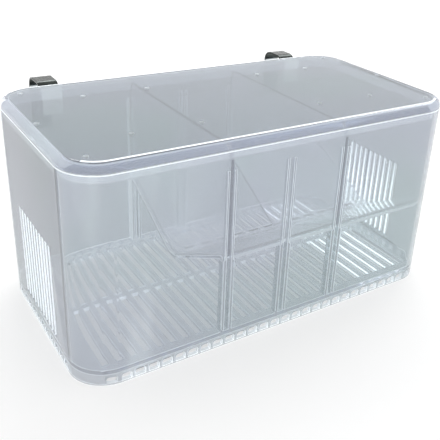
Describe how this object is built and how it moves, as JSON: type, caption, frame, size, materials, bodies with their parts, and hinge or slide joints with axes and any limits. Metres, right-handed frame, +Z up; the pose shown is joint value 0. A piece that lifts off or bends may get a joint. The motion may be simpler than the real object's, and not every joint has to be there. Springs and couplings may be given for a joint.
{
  "type": "fish breeding box",
  "caption": "Clear hang-on breeding box for an aquarium, with a slotted floor and ends, a V-shaped fry trap, lift-out dividers, a vented lid and steel hangers.",
  "frame": {"origin": "middle of the face that the tank stands on", "axes": "+X along the tank to the right as seen from the front, +Y from the front wall to the wall that the hangers hook over, +Z up"},
  "size_m": [0.2, 0.1245, 0.1019],
  "materials": {
    "clear_tank": "clear, polished, with a faint blue-grey tint",
    "clear_lid": "clear, polished, with a faint blue-grey tint",
    "clear_insert": "clear, polished, with a faint blue-grey tint",
    "dark_steel": "polished strip, near black on the hook and lighter on the leg inside the tank"
  },
  "bodies": {
    "tank": {"tank": "clear_tank"},
    "lid": {"lid": "clear_lid"},
    "trap": {"v_trap": "clear_insert"},
    "divider_left": {"left_divider": "clear_insert"},
    "divider_right": {"right_divider": "clear_insert"},
    "hanger_left": {"left_hanger": "dark_steel"},
    "hanger_right": {"right_hanger": "dark_steel"}
  },
  "joints": [
    {"name": "lid_lift", "type": "slide", "parent": "tank", "child": "lid", "axis": [0, 0, 1], "range_m": [0, 0.18]},
    {"name": "left_divider_lift", "type": "slide", "parent": "tank", "child": "divider_left", "axis": [0, 0, 1], "range_m": [0, 0.144]},
    {"name": "right_divider_lift", "type": "slide", "parent": "tank", "child": "divider_right", "axis": [0, 0, 1], "range_m": [0, 0.144]},
    {"name": "left_hanger_lift", "type": "slide", "parent": "tank", "child": "hanger_left", "axis": [0, 0, 1], "range_m": [0, 0.108]},
    {"name": "right_hanger_lift", "type": "slide", "parent": "tank", "child": "hanger_right", "axis": [0, 0, 1], "range_m": [0, 0.108]},
    {"name": "trap_lift", "type": "slide", "parent": "tank", "child": "trap", "axis": [0, 0, 1], "range_m": [0, 0.099]}
  ],
  "couplings": [
    {"joint": "left_divider_lift", "follows": "lid_lift", "ratio": 0.8},
    {"joint": "right_divider_lift", "follows": "lid_lift", "ratio": 0.8},
    {"joint": "left_hanger_lift", "follows": "lid_lift", "ratio": 0.6},
    {"joint": "right_hanger_lift", "follows": "lid_lift", "ratio": 0.6},
    {"joint": "trap_lift", "follows": "lid_lift", "ratio": 0.55}
  ]
}
